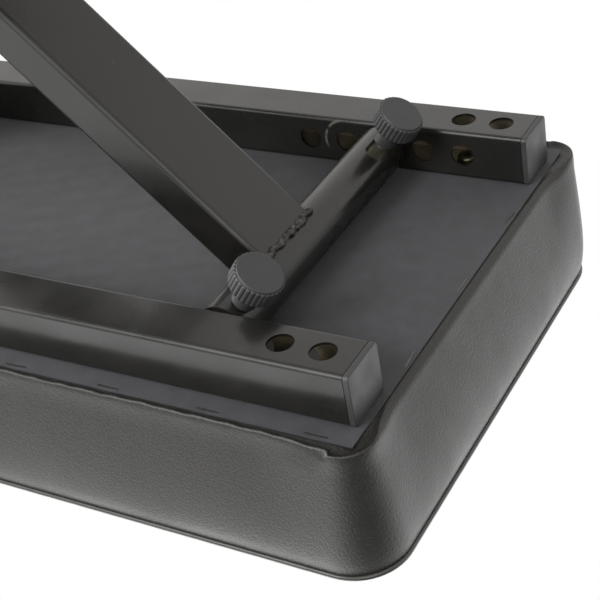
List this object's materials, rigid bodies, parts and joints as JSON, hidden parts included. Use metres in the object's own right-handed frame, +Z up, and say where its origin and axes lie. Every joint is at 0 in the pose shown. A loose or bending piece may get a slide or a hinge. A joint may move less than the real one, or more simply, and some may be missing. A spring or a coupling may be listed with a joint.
{
  "type": "piano bench",
  "caption": "Folding piano bench: padded rectangular seat on a steel X frame that locks at several heights with two spring knobs.",
  "frame": {"origin": "on the floor under the middle of the seat, at the centre of the bounding box's base", "axes": "+Z up, +X along the seat towards the end whose crossbar moves from hole to hole, +Y across the seat, towards the side that leg B is on"},
  "size_m": [0.52, 0.3, 0.4686],
  "materials": {
    "plywood": "sanded",
    "foam": "open-cell foam",
    "leatherette": "satin, fine grain",
    "dust_cloth": "non-woven",
    "black_steel": "semi-gloss paint",
    "black_plastic": "moulded, matte",
    "nylon": "moulded",
    "rubber": "matte",
    "zinc_steel": "zinc plated",
    "plunger_steel": "blackened",
    "spring_steel": "oiled",
    "staple_wire": "galvanised"
  },
  "bodies": {
    "seat": {"seat_board": "plywood", "foam_pad": "foam", "cover_side_band": "leatherette", "cover_top_panel": "leatherette", "cover_piping": "leatherette", "cover_staples": "staple_wire", "dust_cover": "dust_cloth", "dust_cover_staples": "staple_wire", "rail_near": "black_steel", "rail_far": "black_steel", "rail_end_caps": "black_plastic", "rail_screws": "zinc_steel", "rail_screw_washers": "zinc_steel", "rail_t_nuts": "zinc_steel", "pivot_bushes": "nylon"},
    "leg_a": {"leg_a_tube": "black_steel", "leg_a_welds": "black_steel", "leg_a_sleeve": "black_steel", "crossbar_a": "black_steel", "crossbar_a_plugs": "zinc_steel", "pivot_bolts": "zinc_steel", "pivot_bolt_washers": "zinc_steel", "foot_bar_a": "black_steel", "foot_caps_a": "rubber", "centre_bolt": "zinc_steel", "centre_nut": "zinc_steel", "centre_washers": "zinc_steel", "centre_spacer": "nylon"},
    "leg_b": {"leg_b_tube": "black_steel", "leg_b_welds": "black_steel", "leg_b_sleeve": "black_steel", "crossbar_b": "black_steel", "foot_bar_b": "black_steel", "foot_caps_b": "rubber", "plunger_guides": "zinc_steel", "spring_stops": "zinc_steel", "spring_near": "spring_steel", "spring_far": "spring_steel"},
    "plunger_near_body": {"plunger_near": "plunger_steel", "plunger_stud_near": "zinc_steel", "plunger_knob_near": "black_plastic"},
    "plunger_far_body": {"plunger_far": "plunger_steel", "plunger_stud_far": "zinc_steel", "plunger_knob_far": "black_plastic"}
  },
  "joints": [
    {"name": "fold", "type": "hinge", "parent": "seat", "child": "leg_a", "pos_m": [-0.20035, 0, 0.36955], "axis": [0, -1, 0], "range_deg": [-7.62, 38.5]},
    {"name": "scissor", "type": "hinge", "parent": "leg_a", "child": "leg_b", "pos_m": [-0.02358, 0, 0.19278], "axis": [0, -1, 0], "range_deg": [-77, 15.24]},
    {"name": "plunger_near_pull", "type": "slide", "parent": "leg_b", "child": "plunger_near_body", "axis": [0, -1, 0], "range_m": [0, 0.011], "stiffness_N_per_m": 1500, "springref_m": -0.008, "deforming": ["spring_near"]},
    {"name": "plunger_far_pull", "type": "slide", "parent": "leg_b", "child": "plunger_far_body", "axis": [0, 1, 0], "range_m": [0, 0.011], "stiffness_N_per_m": 1500, "springref_m": -0.008, "deforming": ["spring_far"]}
  ],
  "couplings": [
    {"joint": "scissor", "follows": "fold", "ratio": -2}
  ]
}
